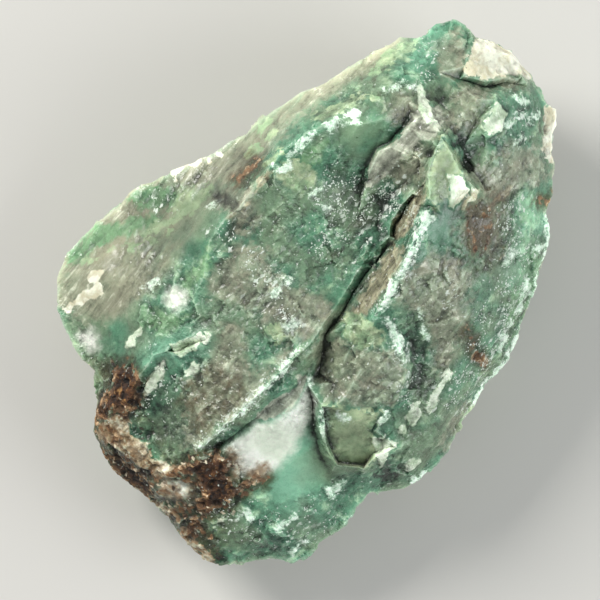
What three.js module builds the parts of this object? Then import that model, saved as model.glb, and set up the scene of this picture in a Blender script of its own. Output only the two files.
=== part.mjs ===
// A rough lump of green jade, lying on a flat break with its broad, broken face upwards.
// Units are millimetres and +Z is up. The origin is on the surface the stone lies on, below the
// middle of its box. +X and +Y run across and along the broad face, which is read from above.
//
// The stone is drawn as a land survey is: an outline, the crests and feet of its ledges, loose
// flakes, and spot heights. Each point is [x, y, height]. The upper face and the underside are
// triangulated between those lines, joined at the outline, and then roughened as broken jade is.
import * as THREE from "three";
import { ImprovedNoise } from "three/addons/math/ImprovedNoise.js";

// Driving dimensions of the surface
const upperCell = 2.9; // longest triangle edge on the broken face
const underCell = 5; // longest triangle edge on the underside
const splitPasses = 6; // how often the survey's triangles may be halved
const lineStep = 1.9; // spacing of survey points along a crest or a foot
const leastGap = 0.55; // two survey points are never closer than this, seen from above
const flakeSlope = 0.6; // how far a flake's foot stands outside its rim
const coarseGrain = 0.42; // in or out, over lumps of about coarseSpan
const coarseSpan = 5.2;
const fineGrain = 0.2; // in or out, over grains of about fineSpan
const fineSpan = 2.3;
const heave = 1.3; // in or out, over lumps of about heaveSpan, on the underside alone
const heaveSpan = 9;
const baseEase = 2.6; // the break that the stone lies on stays flat up to this height

// The widest line round the stone, seen from above, clockwise from its left tip
const outline = [
  [-40.3, 2.6, 15], [-39.0, 6.0, 14], [-36.8, 8.5, 14], [-34.0, 11.4, 15], [-30.2, 13.8, 17],
  [-28.4, 16.2, 18.5], [-26.4, 17.6, 19.5], [-22.2, 19.1, 21.5], [-20.8, 20.5, 22.5],
  [-18.2, 21.1, 23.5], [-14.6, 22.5, 25], [-12.0, 24.6, 25.5], [-9.6, 25.4, 26.5],
  [-7.6, 27.5, 27], [-4.8, 29.4, 28], [-1.0, 32.2, 28.5], [3.2, 33.8, 29], [8.4, 37.2, 28.5],
  [12.4, 39.4, 28], [15.0, 40.9, 27], [18.2, 40.8, 27], [20.8, 43.0, 26], [23.0, 43.8, 25],
  [25.0, 43.4, 24.5], [27.2, 41.2, 24], [30.0, 40.4, 22.5], [32.8, 38.7, 21], [34.8, 36.2, 20],
  [36.0, 35.1, 19.5], [36.6, 33.0, 20], [38.3, 30.6, 19], [39.8, 29.6, 17], [40.7, 28.5, 16],
  [39.6, 26.0, 17], [39.3, 22.6, 17.5], [39.8, 20.4, 17], [39.5, 16.0, 18], [38.2, 13.2, 18.5],
  [38.8, 9.4, 17.5], [38.2, 5.8, 18], [36.9, 2.8, 18.5], [36.0, -1.0, 17.5], [34.8, -4.6, 17],
  [33.2, -8.8, 16], [31.6, -11.8, 15.5], [29.4, -13.8, 16], [27.0, -17.3, 15.5],
  [24.3, -22.2, 15], [22.6, -25.2, 15], [18.2, -29.6, 14], [15.8, -31.4, 13.5],
  [12.8, -32.0, 14], [10.2, -31.8, 16.5], [8.0, -34.2, 16.5], [6.0, -36.8, 15.5],
  [2.4, -39.8, 14], [0.4, -42.0, 13], [-2.0, -43.0, 12.5], [-6.0, -42.4, 13],
  [-10.6, -43.4, 13], [-13.8, -43.8, 13.5], [-16.4, -42.4, 13.5], [-18.6, -40.8, 12.5],
  [-22.4, -35.9, 11.5], [-25.2, -33.1, 11], [-29.4, -30.0, 10.5], [-32.2, -27.0, 11.5],
  [-33.4, -24.4, 13], [-34.5, -22.2, 14.5], [-33.6, -18.8, 16.5], [-33.4, -16.6, 17],
  [-34.6, -14.8, 16], [-34.0, -12.3, 16.5], [-36.4, -9.6, 15.5], [-38.6, -5.8, 15],
  [-39.9, -2.6, 15],
];

// Flakes that stand proud of the face. Each point of a rim is [x, y, height, drop to its foot],
// because a flake often runs into the face on one side and breaks off short on the other.
const flakes = [
  // the blade's point, which overhangs the dark pit on its right
  [[21.3, 24.7, 38, 1.3], [23.2, 22.2, 37.5, 2.2], [24.2, 19.8, 37, 2.6], [25.7, 17.8, 36.2, 2.3],
    [27.0, 16.1, 35.2, 1.6], [26.0, 14.4, 34.9, 1.1], [24.0, 13.0, 35.6, 0.4],
    [21.8, 12.6, 37.2, 0], [19.2, 15.0, 39, 0.8], [19.0, 18.8, 38.7, 1.3], [20.0, 22.2, 38.3, 1.5]],
  // the straw-coloured sliver at the blade's foot
  [[18.0, 17.0, 35.6, 0.5], [16.6, 15.8, 34.8, 1.4], [15.0, 13.6, 33.4, 1.5],
    [13.4, 11.6, 32.6, 1.4], [13.0, 9.2, 32, 1], [14.0, 8.6, 32.4, 0.4], [15.9, 10.6, 34.4, 0.2],
    [17.2, 12.6, 35.8, 0.2]],
  // the pale five-sided chip on the right shoulder
  [[26.8, 26.2, 33, 0.9], [29.9, 30.4, 31.2, 0.5], [31.2, 28.4, 30.3, 0.7],
    [30.6, 26.0, 30.9, 0.9], [28.2, 24.9, 32.5, 1]],
  // the cream cap on the far right rim
  [[26.9, 40.2, 26, 0.2], [29.8, 39.4, 25, 0.1], [32.2, 37.7, 23.8, 0.1], [33.8, 35.6, 23.2, 0.3],
    [34.8, 33.8, 23.6, 1], [31.4, 34.6, 26.4, 1.2], [28.2, 34.0, 28.8, 1.3],
    [25.0, 34.8, 30, 1], [25.6, 37.8, 28.4, 0.5]],
  // the smooth pale green plate above the notch
  [[2.6, -17.6, 29.4, 1.5], [2.4, -21.4, 28.2, 2], [3.6, -25.0, 26.6, 2], [4.8, -27.2, 25.4, 2],
    [9.4, -27.6, 24.4, 2], [11.2, -25.6, 25, 1], [14.0, -24.2, 24.8, 1.3], [12.4, -22.6, 26, 1],
    [11.0, -21.8, 27, 0.9], [12.2, -19.0, 28, 0.3], [8.0, -18.2, 29.2, 0.1]],
  // the mint-green scales at the foot of the long slope
  [[-22.2, -9.2, 28.6, 1.5], [-20.2, -9.9, 28.8, 1.6], [-18.4, -8.8, 29.4, 1.5],
    [-16.4, -8.0, 30, 1.3], [-15.2, -6.2, 30.8, 0.5], [-18.0, -5.6, 30.2, 0], [-21.0, -7.0, 29.2, 0.2]],
];

// Crests, feet and creases across the broken face
const creases = [
  // the thin edge of the grey leaf that leans on the dome, and the dark groove under it
  [[9.0, 16.6, 33], [10.2, 20.2, 34.2], [11.6, 22.6, 35], [13.5, 23.2, 35.5], [15.4, 25.2, 36.2],
    [17.0, 27.8, 36.8], [18.8, 28.0, 36.6]],
  [[8.5, 17.2, 31.7], [9.5, 20.7, 32.8], [11.0, 23.3, 33.6], [13.0, 24.0, 34.2], [14.8, 26.0, 34.9],
    [16.2, 28.8, 35.4]],
  // the crest between the long slope and the central scoop
  [[18.4, 38.6, 29.4], [16.8, 34.4, 33.4], [12.6, 32.8, 35.2], [7.2, 29.4, 36.8], [3.4, 27.2, 37.2],
    [0.0, 25.4, 37], [-3.2, 22.6, 36.4], [-6.2, 19.8, 35.6], [-9.6, 15.0, 34.6], [-12.8, 12.2, 33.6],
    [-15.4, 8.6, 32.6], [-16.2, 3.0, 31.4], [-18.8, -1.4, 30.4], [-22.8, -4.6, 29]],
  // the slope's own lower band, which runs beside that crest
  [[15.4, 38.6, 29.6], [10.2, 35.0, 31.4], [4.6, 31.0, 33], [-1.0, 27.4, 33.6], [-5.6, 23.6, 33]],
  // the step from the long slope down to the dark green hollow
  [[-24.4, -10.0, 27.4], [-26.6, -13.0, 25.8], [-28.2, -16.2, 24.2]],
  [[-23.4, -11.2, 25.9], [-25.6, -14.2, 24.4], [-27.4, -17.4, 22.8]],
  // the blade: its crest, then the crack along its foot
  [[18.2, 11.4, 39.2], [16.6, 8.0, 39.2], [15.0, 4.4, 38.6], [13.2, 1.0, 37.6], [11.2, -2.2, 36.2],
    [9.6, -4.8, 34.6]],
  [[12.4, 7.4, 30.6], [9.8, 3.4, 30.4], [7.4, 0.2, 30.2], [5.0, -3.4, 29.8], [3.0, -6.6, 29]],
  [[11.2, 7.8, 31.6], [8.6, 4.0, 31.6], [6.2, 0.6, 31.6], [3.8, -3.2, 31.4], [1.4, -6.8, 31.6]],
  // the crest that runs from the hollow down to the rust, and its foot
  [[-0.8, -9.0, 32.6], [-4.4, -12.4, 32.6], [-7.6, -15.8, 32.2], [-10.6, -18.6, 31], [-14.4, -22.0, 29],
    [-17.4, -24.4, 27]],
  [[0.2, -12.2, 28.6], [-3.2, -16.2, 28.8], [-6.8, -18.8, 28.4], [-11.0, -21.8, 26.8],
    [-14.2, -24.3, 25.4]],
  // the lip of the smooth milky break
  [[0.2, -14.0, 28.8], [-2.2, -18.0, 28.6], [-4.6, -20.0, 28.4], [-8.2, -20.6, 27.8], [-12.0, -23.8, 26.4]],
  // the groove between the milky break and the pale green plate
  [[1.2, -17.4, 26.6], [1.2, -21.8, 25.2], [2.4, -25.6, 23.8], [3.8, -28.6, 22.6], [9.6, -29.2, 20.6]],
  // the lower edge of the milky break
  [[-10.4, -33.2, 21], [-6.0, -33.8, 20.8], [-1.4, -34.0, 20.4], [3.4, -32.6, 20.2], [7.6, -31.6, 19]],
  // the dark slot on the right, high side then low side
  [[14.0, -5.4, 33.2], [15.2, -8.2, 32], [15.6, -11.6, 30.8], [15.2, -15.4, 29.4]],
  [[16.8, -7.2, 30], [17.0, -11.0, 28.8], [16.8, -14.6, 27.6]],
  [[20.0, -8.0, 29.4], [19.4, -11.4, 28.2], [18.2, -15.0, 27]],
  // the shoulder where the right face turns over to the side
  [[36.9, 29.4, 21.6], [36.9, 25.4, 23], [37.4, 20.2, 22.4], [36.2, 15.4, 23.8], [35.6, 10.2, 24],
    [34.6, 5.0, 23.8], [33.6, 1.6, 24], [32.4, -2.8, 22.6], [30.8, -6.4, 22], [29.6, -10.2, 21],
    [27.2, -13.6, 20.6], [24.2, -18.6, 19.8], [21.8, -23.0, 19.2], [18.4, -27.0, 18.4]],
  // the edges of the far green facet and of the grey facet beside it
  [[26.2, 40.6, 25.8], [25.0, 37.6, 27.9], [24.4, 33.4, 30.8], [23.0, 30.2, 32.8], [22.4, 26.6, 33.6]],
  [[18.6, 36.6, 30.4], [19.4, 32.4, 32.6], [21.2, 30.2, 32.4]],
  // the left corner, crest of the weathered side
  [[-33.2, -19.4, 18.4], [-31.6, -24.0, 17.8], [-28.4, -25.8, 18.4], [-26.0, -28.0, 18.6],
    [-24.6, -31.2, 17.2], [-22.2, -34.2, 16.2], [-19.6, -37.6, 15.4], [-17.4, -40.2, 15.2]],
  // the edge between the weathered corner and the dark green hollow
  [[-28.6, -19.6, 21.8], [-28.2, -22.8, 20.6], [-25.4, -25.6, 21.6], [-22.0, -27.4, 23],
    [-18.6, -26.4, 25.2]],
];

// Spot heights
const spots = [
  // the long slope
  [-34, 4, 19.4], [-30, 9, 20], [-28, 2, 23.4], [-34, -4, 18.8], [-30, -6, 22], [-24, 4, 26],
  [-24, 11, 23.4], [-19, 9, 28.6], [-18, 15, 26.6], [-13, 17, 29.6], [-11, 20, 29], [-26, -3, 25.8],
  [-29, -11, 22.4], [-7, 24, 30], [0, 30, 31.2], [6, 33.6, 30.6],
  // the central scoop
  [-10, 8, 33], [-5, 14, 34], [1, 19, 34.4], [6, 23, 34.8], [-3, 6, 32.6], [3, 12, 32.6],
  [8, 12, 31.4], [0, 1, 32.2], [6, 7, 31.6], [11.4, 11.4, 31], [13, 15, 31.6], [15.6, 17.6, 32.8],
  [-8, 0, 32.2], [-14, 2, 31.2], [-13, -4, 31.4], [-5, -5, 32.6],
  // the smooth dome above it
  [8, 26.6, 37.2], [12, 27.4, 37], [12.6, 30.4, 36.2], [16, 30.6, 35.2],
  // the far facets
  [22, 39, 28], [21, 35, 30.6], [22, 32, 31.8], [27, 31, 32], [25, 28, 33], [30, 32.4, 28.8],
  [34, 31.4, 25.6], [34, 27, 26.8], [33, 22, 28.4],
  // the pit beside the blade, and the rusty pit below it
  [25.2, 20.9, 31.6], [26.6, 19.6, 32.2], [24.6, 23.6, 32.8], [28.6, 21, 31.8], [29, 16.4, 31.8],
  [26.6, 12.2, 32.4], [27.4, 9.4, 31.6], [25.4, 7.4, 33.4], [29.4, 12, 31],
  // the right face
  [21, 9, 36.8], [19, 4, 36.6], [22, 1, 34.8], [17, -1, 35.2], [31, 15, 28.8], [31, 8, 28.2],
  [29, 2, 28.6], [24, -4, 30.6], [28, -5, 26.6], [24, -9, 27.4], [23, -15.4, 24.4],
  [20.8, -19.6, 23.6], [18, -23.6, 23],
  // the brown mound and the deep hollow beside it
  [2.6, -9.4, 27.4], [1.8, -12.4, 27.2], [4.4, -13.8, 28.8], [6.4, -8.4, 31], [10, -7.4, 32.8],
  [12.4, -10.6, 32.4], [8.4, -12.6, 31.4], [12.6, -15.4, 30.2], [6, -16.6, 30],
  [5.4, -5, 31.4],
  // between the scales and the lower crest
  [-19, -12.6, 27.8], [-14, -10.6, 30.6], [-9, -8.6, 32], [-5, -9, 32.4], [-22, -17, 25.4],
  [-24.4, -21.4, 23], [-20, -22.6, 25.4], [-16, -18, 28.8], [-11, -13.8, 31.2],
  // the milky break
  [-8, -25.6, 25.6], [-2.6, -23.6, 26], [-4, -29.4, 23.2], [-10.4, -29.4, 23.6], [0.6, -29.6, 22.2],
  // the rust and the lower rim
  [-15, -27.4, 25], [-17, -31.2, 22.4], [-20.4, -30.4, 21.6], [-15.4, -34.8, 19.6],
  [-15.4, -38.6, 17.2], [-10.6, -37.6, 18.4], [-11.4, -41.2, 15.6], [-5.4, -38, 18.2],
  [-2.6, -40.8, 15.4], [2.4, -36.8, 17.8], [-31, -20.6, 19.8], [-30.6, -15.6, 21.4],
  // the notch and the lower right
  [12.6, -28.6, 18.4], [11.2, -30, 17.8], [16.4, -26.6, 20.6], [14.8, -29, 17.2],
];

// The underside: the flat break that the stone lies on, then the facets that lead down to it
const base = [
  [-25, -9, 0], [-26, 1, 0], [-19, 9, 0], [-7, 14, 0], [3, 21, 0], [14, 27, 0], [22, 23, 0],
  [28, 14, 0], [29, 4, 0], [24, -9, 0], [16, -19, 0], [6, -27, 0], [-6, -31, 0], [-18, -26, 0],
  [-20, -17, 0], [0, 0, 0], [12, -4, 0], [-10, -10, 0], [12, 12, 0], [-8, 3, 0], [-2, -18, 0],
];
const underside = [
  [-37.6, 2.4, 8.6], [-33.4, 8.4, 7.4], [-30, 3, 4], [-25.4, 13.4, 10.4], [-17.4, 18, 13],
  [-12, 16.4, 6], [-8.6, 22, 12.2], [-1.4, 27.6, 15], [1.6, 25.6, 7.6], [7.6, 33, 13],
  [15, 37.2, 15.6], [19, 33.6, 8], [22, 40.2, 14.4], [29, 37.4, 12.4], [28, 30, 5.4],
  [34.4, 32.4, 9.6], [37.6, 26.8, 7.4], [33.4, 21, 4.2], [37.2, 19.6, 9.4], [36.4, 13, 6.6],
  [36.6, 7, 9.6], [33.4, 0.4, 6.4], [31.4, -7.6, 8.8], [27.4, -13.4, 5.2], [22.4, -20.6, 7.6],
  [16.6, -27.2, 5], [9.4, -30, 8.4], [3, -36.6, 4.6], [-3, -40, 7.2], [-11, -40.6, 5],
  [-17, -38.4, 6.8], [-14, -34.6, 2.6], [-23.6, -31.6, 4], [-29.8, -26.8, 5.8], [-26, -22, 2.8],
  [-31, -20, 8.4], [-30.6, -13.4, 5], [-35.2, -7.4, 7.8], [-37.8, -2, 6.8],
];

const noise = new ImprovedNoise();

function between(a, b, t) {
  return a.map((value, i) => value + (b[i] - value) * t);
}

// The points of a line, with more between them so that none are over a step apart
function densify(line, closed, step) {
  const ends = closed ? [...line, line[0]] : line;
  const points = [];
  for (let i = 0; i + 1 < ends.length; i++) {
    const span = Math.hypot(ends[i + 1][0] - ends[i][0], ends[i + 1][1] - ends[i][1]);
    const parts = Math.max(1, Math.ceil(span / step));
    for (let k = 0; k < parts; k++) points.push(between(ends[i], ends[i + 1], k / parts));
  }
  if (!closed) points.push(line[line.length - 1]);
  return points;
}

function isInside(x, y, loop) {
  let inside = false;
  for (let i = 0, j = loop.length - 1; i < loop.length; j = i++) {
    const [xi, yi] = loop[i];
    const [xj, yj] = loop[j];
    if (yi > y !== yj > y && x < ((xj - xi) * (y - yi)) / (yj - yi) + xi) inside = !inside;
  }
  return inside;
}

// A flake's foot: its rim moved outwards, seen from above, and lowered
function footOf(rim) {
  return rim.map(([x, y, z, drop], i) => {
    const [ax, ay] = rim[(i + rim.length - 1) % rim.length];
    const [bx, by] = rim[(i + 1) % rim.length];
    const run = Math.hypot(bx - ax, by - ay);
    return [x - ((by - ay) / run) * flakeSlope, y + ((bx - ax) / run) * flakeSlope, z - drop];
  });
}

// The corners of the circle test of a Delaunay triangulation
function circleOf(a, b, c) {
  const d = 2 * (a[0] * (b[1] - c[1]) + b[0] * (c[1] - a[1]) + c[0] * (a[1] - b[1]));
  const [sa, sb, sc] = [a, b, c].map((p) => p[0] * p[0] + p[1] * p[1]);
  const x = (sa * (b[1] - c[1]) + sb * (c[1] - a[1]) + sc * (a[1] - b[1])) / d;
  const y = (sa * (c[0] - b[0]) + sb * (a[0] - c[0]) + sc * (b[0] - a[0])) / d;
  return { x, y, squared: (a[0] - x) ** 2 + (a[1] - y) ** 2 };
}

// Delaunay triangles between survey points seen from above, anticlockwise, inside the outline
function triangulate(points, loop) {
  const far = 1000;
  const all = [...points, [-far, -far], [far, -far], [0, far]];
  const first = [points.length, points.length + 1, points.length + 2];
  let triangles = [{ corners: first, circle: circleOf(...first.map((i) => all[i])) }];
  points.forEach((p, index) => {
    const edges = new Map();
    triangles = triangles.filter(({ corners, circle }) => {
      if ((p[0] - circle.x) ** 2 + (p[1] - circle.y) ** 2 >= circle.squared) return true;
      corners.forEach((from, i) => {
        const to = corners[(i + 1) % 3];
        if (!edges.delete(`${to},${from}`)) edges.set(`${from},${to}`, [from, to]);
      });
      return false;
    });
    for (const [from, to] of edges.values()) {
      triangles.push({ corners: [from, to, index], circle: circleOf(all[from], all[to], p) });
    }
  });
  return triangles
    .map(({ corners }) => corners)
    .filter((corners) => corners.every((i) => i < points.length))
    .filter((corners) => {
      const x = corners.reduce((sum, i) => sum + points[i][0], 0) / 3;
      const y = corners.reduce((sum, i) => sum + points[i][1], 0) / 3;
      return isInside(x, y, loop);
    });
}

// The survey of one side of the stone: the outline's points come first, in order
function surveyUpper(outer) {
  const points = [...outer];
  const feet = flakes.map(footOf);
  const add = (p) => {
    if (points.every((q) => Math.hypot(p[0] - q[0], p[1] - q[1]) > leastGap)) points.push(p);
  };
  const rims = flakes.map((flake) => flake.map(([x, y, z]) => [x, y, z]));
  rims.forEach((edge) => densify(edge, true, lineStep).forEach(add));
  feet.forEach((foot) => densify(foot, true, lineStep).forEach(add));
  const open = (p) => !feet.some((foot) => isInside(p[0], p[1], foot));
  creases.forEach((line) => densify(line, false, lineStep).filter(open).forEach(add));
  spots.filter(open).forEach(add);
  return points.filter((p, i) => i < outer.length || isInside(p[0], p[1], outer));
}

// Splits every edge that is too long for where it lies, a few times over. A point's side is 1 on
// the broken face, 0.5 on the outline and 0 on the underside.
function refine(points, faces) {
  for (let pass = 0; pass < splitPasses; pass++) {
    const middles = new Map();
    const middleOf = (a, b) => {
      const key = a < b ? `${a},${b}` : `${b},${a}`;
      if (middles.has(key)) return middles.get(key);
      const [p, q] = [points[a], points[b]];
      const limit = p.side + q.side >= 1 ? upperCell : underCell;
      let made = -1;
      if (Math.hypot(p[0] - q[0], p[1] - q[1], p[2] - q[2]) > limit) {
        const side = p.side + q.side > 1 ? 1 : Math.min(p.side, q.side);
        made = points.push(Object.assign(between([...p], [...q], 0.5), { side })) - 1;
      }
      middles.set(key, made);
      return made;
    };
    const next = [];
    for (const [a, b, c] of faces) {
      const [ab, bc, ca] = [middleOf(a, b), middleOf(b, c), middleOf(c, a)];
      const count = (ab >= 0) + (bc >= 0) + (ca >= 0);
      if (count === 0) next.push([a, b, c]);
      else if (count === 3) next.push([a, ab, ca], [ab, b, bc], [ca, bc, c], [ab, bc, ca]);
      else if (count === 1) {
        if (ab >= 0) next.push([a, ab, c], [ab, b, c]);
        else if (bc >= 0) next.push([a, b, bc], [a, bc, c]);
        else next.push([a, b, ca], [ca, b, c]);
      } else if (ab < 0) next.push([a, b, bc], [a, bc, ca], [ca, bc, c]);
      else if (bc < 0) next.push([b, c, ca], [b, ca, ab], [ab, ca, a]);
      else next.push([c, a, ab], [c, ab, bc], [bc, ab, b]);
    }
    faces = next;
  }
  return faces;
}

// Broken jade is nowhere quite flat: a lumpy grain, eased away at the break the stone lies on
function roughen([x, y, z], side) {
  const ease = THREE.MathUtils.smoothstep(z, 0, baseEase);
  return [17, 43, 71].map((seed) => {
    const wide = noise.noise(x / heaveSpan + seed, y / heaveSpan, z / heaveSpan + seed);
    const coarse = noise.noise(x / coarseSpan + seed, y / coarseSpan, z / coarseSpan);
    const fine = noise.noise(x / fineSpan, y / fineSpan + seed, z / fineSpan);
    return ease * ((side ? 0 : wide * heave) + coarse * coarseGrain + fine * fineGrain);
  });
}

function buildStone() {
  const rim = densify(outline, true, lineStep);
  const upper = surveyUpper(rim);
  const under = [...rim, ...base, ...underside];
  const upperFaces = triangulate(upper, rim);
  const underFaces = triangulate(under, rim);

  // Both sides share the outline's points, and the underside's faces are turned to look down
  const points = upper.map((p, i) => Object.assign([...p], { side: i < rim.length ? 0.5 : 1 }));
  const shift = upper.length - rim.length;
  base.concat(underside).forEach((p) => points.push(Object.assign([...p], { side: 0 })));
  const shared = (i) => (i < rim.length ? i : i + shift);
  const faces = [...upperFaces, ...underFaces.map(([a, b, c]) => [shared(a), shared(c), shared(b)])];
  const refined = refine(points, faces);

  const rough = points.map((p) => {
    const [dx, dy, dz] = roughen(p, p.side);
    return new THREE.Vector3(p[0] + dx, p[1] + dy, p[2] + dz);
  });
  const geometry = new THREE.BufferGeometry().setFromPoints(rough);
  geometry.setIndex(refined.flat());
  geometry.computeBoundingBox();
  const middle = geometry.boundingBox.getCenter(new THREE.Vector3());
  geometry.translate(-middle.x, -middle.y, 0);
  return geometry;
}

const jade = new THREE.MeshStandardMaterial({ color: 0x6f8f7a, roughness: 0.45, metalness: 0 });
const stone = new THREE.Mesh(buildStone(), jade);
stone.name = "raw_jade";

const rawJade = new THREE.Group();
rawJade.add(stone);

export default rawJade;
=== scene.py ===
# %% [markdown]
# # A rough lump of green jade
#
# Jade comes out of the ground as broken stone. This lump has one broad, fresh break, which faces
# up here, and older weathered skin at its left corner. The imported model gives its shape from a
# step away. This script adds what a hand lens shows: splinters, flakes, grains and colour.

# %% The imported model
import math

import bmesh
import bpy
import numpy as np
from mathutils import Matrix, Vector, noise


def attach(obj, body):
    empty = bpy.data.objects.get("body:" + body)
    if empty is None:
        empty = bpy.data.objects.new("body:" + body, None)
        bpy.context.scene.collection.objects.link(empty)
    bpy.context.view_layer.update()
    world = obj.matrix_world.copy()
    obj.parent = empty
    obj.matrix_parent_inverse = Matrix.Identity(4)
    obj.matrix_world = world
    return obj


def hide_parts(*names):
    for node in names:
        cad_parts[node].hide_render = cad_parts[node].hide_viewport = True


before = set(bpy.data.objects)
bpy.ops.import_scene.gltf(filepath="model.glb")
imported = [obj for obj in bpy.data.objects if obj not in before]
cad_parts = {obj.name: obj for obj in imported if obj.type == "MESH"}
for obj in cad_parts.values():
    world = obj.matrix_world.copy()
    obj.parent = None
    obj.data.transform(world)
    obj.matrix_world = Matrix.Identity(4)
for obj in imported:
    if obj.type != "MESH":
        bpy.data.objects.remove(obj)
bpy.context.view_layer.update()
MM = 0.001
print("nodes:", sorted(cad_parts))

# %% [markdown]
# ## The camera
#
# The stone is looked at square on to its broad face. A near camera would swell the middle and hide
# the rim, so a long lens far away is used, and its length follows from the width it has to take in.

# %% The camera
FRAME_WIDTH = 96 * MM
CAMERA_HEIGHT = 1.09
CAMERA_X = -1.44 * MM
CAMERA_Y = -0.96 * MM
SENSOR = 36.0
FOCUS_HEIGHT = 20 * MM
LONGEST_VIEW = 20

camera = bpy.data.cameras.new("camera")
camera.sensor_width = SENSOR
camera.lens = SENSOR * (CAMERA_HEIGHT - FOCUS_HEIGHT) / FRAME_WIDTH
camera.clip_end = LONGEST_VIEW
camera_object = bpy.data.objects.new("camera", camera)
camera_object.location = (CAMERA_X, CAMERA_Y, CAMERA_HEIGHT)
bpy.context.scene.collection.objects.link(camera_object)
bpy.context.scene.camera = camera_object
print("lens", round(camera.lens, 1), "mm")

# %% [markdown]
# ## A finer skin
#
# The model's triangles are about 2 mm wide, too coarse for the grain of a break. A Subdivision
# Surface modifier would round every crest and spend as much on the underside. So a copy is split
# only where its edges are long, more on the broad face than below. Between splits, the points that
# aren't on a sharp edge are eased: broken faces turn softly and crests stay crisp.

# %% A finer skin
SHARP = math.radians(34)
FIRST_EDGES = (1.8 * MM, 1.0 * MM, 0.7 * MM)
UPPER_EDGE = 0.5 * MM
UNDER_EDGE = 1.15 * MM
FACES_DOWN = -0.1
EASING = 0.5
EASED_ABOVE = 0.5 * MM
SAME_POINT = 0.001 * MM


def ease_soft_points(skin):
    hard = {
        corner
        for edge in skin.edges
        if len(edge.link_faces) == 2 and edge.calc_face_angle(0) > SHARP
        for corner in edge.verts
    }
    soft = [v for v in skin.verts if v not in hard and v.co.z > EASED_ABOVE]
    bmesh.ops.smooth_vert(
        skin, verts=soft, factor=EASING, use_axis_x=True, use_axis_y=True, use_axis_z=True
    )


def split_long_edges(skin, longest_upper, longest_under):
    skin.normal_update()
    long_edges = []
    for edge in skin.edges:
        up = sum(face.normal.z for face in edge.link_faces) > FACES_DOWN
        if edge.calc_length() > (longest_upper if up else longest_under):
            long_edges.append(edge)
    bmesh.ops.subdivide_edges(skin, edges=long_edges, cuts=1, use_grid_fill=True)
    bmesh.ops.triangulate(skin, faces=[f for f in skin.faces if len(f.verts) > 3])
    return len(long_edges)


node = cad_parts["raw_jade"]
skin = bmesh.new()
skin.from_mesh(node.data)
bmesh.ops.remove_doubles(skin, verts=skin.verts, dist=SAME_POINT)
for longest in (*FIRST_EDGES, UPPER_EDGE):
    split = split_long_edges(skin, longest, max(longest, UNDER_EDGE))
    print("edges split:", split)
    if longest > UPPER_EDGE:
        ease_soft_points(skin)
stone_mesh = bpy.data.meshes.new("jade_stone")
skin.to_mesh(stone_mesh)
skin.free()
print("triangles:", len(stone_mesh.polygons))

# %% [markdown]
# ## Where things are on the stone
#
# A stone's colours lie in patches. Noise alone would scatter them anywhere, and a painted picture
# would stretch down the sides. So patches are named by outlines on the broad face, in millimetres,
# as a geologist marks up a hand specimen, and each point of the skin learns how far inside one it
# lies. Patches are ragged on a real stone, so the places are first shaken by noise.

# %% Points, normals and grain
GRAIN_ANGLE = math.radians(50)
WAVER = 0.55
WAVER_SIZE = 2.4
QUIVER = 0.22
QUIVER_SIZE = 0.8
BREAKUP = 0.9
BREAKUP_SIZE = 1.7
count = len(stone_mesh.vertices)


def at_each_point(what):
    flat = np.empty(count * 3)
    stone_mesh.vertices.foreach_get(what, flat)
    return flat.reshape(-1, 3)


points = at_each_point("co") / MM
normals = at_each_point("normal")
along = points[:, 0] * math.cos(GRAIN_ANGLE) + points[:, 1] * math.sin(GRAIN_ANGLE)
across = points[:, 1] * math.cos(GRAIN_ANGLE) - points[:, 0] * math.sin(GRAIN_ANGLE)


def smooth_step(low, high, value):
    t = np.clip((value - low) / (high - low), 0, 1)
    return t * t * (3 - 2 * t)


def noise_at(places, size, seed):
    """Noise from about -1 to 1, with lumps of this size in mm."""
    shift = Vector([seed * step for step in (7.3, 3.1, 5.7)])
    return np.array([noise.noise(Vector(p) / size + shift) for p in places])


shaken = np.stack(
    [
        points[:, axis]
        + WAVER * noise_at(points, WAVER_SIZE, 11 + axis)
        + QUIVER * noise_at(points, QUIVER_SIZE, 21 + axis)
        for axis in (0, 1)
    ],
    axis=1,
)
breakup = BREAKUP * noise_at(points, BREAKUP_SIZE, 24) - 0.05
facing_up = smooth_step(-0.16, 0.06, normals[:, 2])
print("points:", count)


# %% How far inside an outline or a streak
FAR = 10.0  # past this many millimetres, a patch or brush has no say
SOLID_PART = 0.1  # of a brush's reach, at full strength


def distance_to_path(places, path):
    nearest = np.full(len(places), FAR)
    for start, end in zip(path[:-1], path[1:]):
        start = np.array(start, float)
        run = np.array(end, float) - start
        t = np.clip(((places - start) @ run) / max(run @ run, 1e-9), 0, 1)
        nearest = np.minimum(nearest, np.hypot(*(places - start - t[:, None] * run).T))
    return nearest


def depth_in_outline(places, outline):
    depth = distance_to_path(places, outline + outline[:1])
    inside = np.zeros(len(places), bool)
    for (ax, ay), (bx, by) in zip(outline, outline[1:] + outline[:1]):
        if ay != by:
            crosses = (places[:, 1] < ay) != (places[:, 1] < by)
            edge_x = ax + (places[:, 1] - ay) * (bx - ax) / (by - ay)
            inside ^= crosses & (places[:, 0] < edge_x)
    return np.where(inside, depth, -depth)


def depth_in_all(outlines=(), streaks=()):
    """Depth in the nearest of them, in mm. Streaks break up along their run."""
    depth = np.full(count, -FAR)
    for outline in outlines:
        depth = np.maximum(depth, depth_in_outline(shaken, outline))
    for width, path in streaks:
        broken = np.maximum(depth, width / 2 - distance_to_path(shaken, path))
        depth = np.where(broken > depth, np.maximum(depth, broken + breakup * width), depth)
    return depth


def soft_total(brushes):
    total = np.zeros(count)
    for amount, reach, path in brushes:
        total += amount * smooth_step(reach, reach * SOLID_PART, distance_to_path(shaken, path))
    return total


print("edges waver by up to about", WAVER + QUIVER, "mm")

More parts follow.
